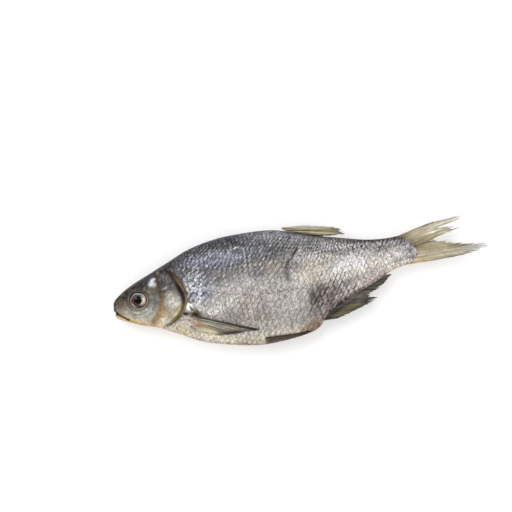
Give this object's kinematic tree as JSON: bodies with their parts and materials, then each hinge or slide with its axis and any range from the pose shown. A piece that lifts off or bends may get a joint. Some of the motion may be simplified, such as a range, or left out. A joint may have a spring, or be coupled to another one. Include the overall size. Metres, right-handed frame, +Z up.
{
  "type": "dried salted bream",
  "caption": "Whole dried salted bream lying on its right flank, with head, gill covers, folded fins and a forked tail fin in one stiff piece.",
  "frame": {"origin": "under the middle of the fish, at the level of the surface that it lies on", "axes": "+X from the snout to the tail fin, +Y from the belly to the back, +Z up through the left flank, which shows"},
  "size_m": [0.27, 0.0804, 0.0289],
  "materials": {
    "skin": "dried scaled skin, silvery with a dull gloss",
    "head": "bare dried skin over bone, slight gloss",
    "fin": "brittle dried rays and web, matt to satin",
    "eye": "dried glossy eye"
  },
  "bodies": {
    "root": {"fish": "skin"}
  },
  "joints": []
}
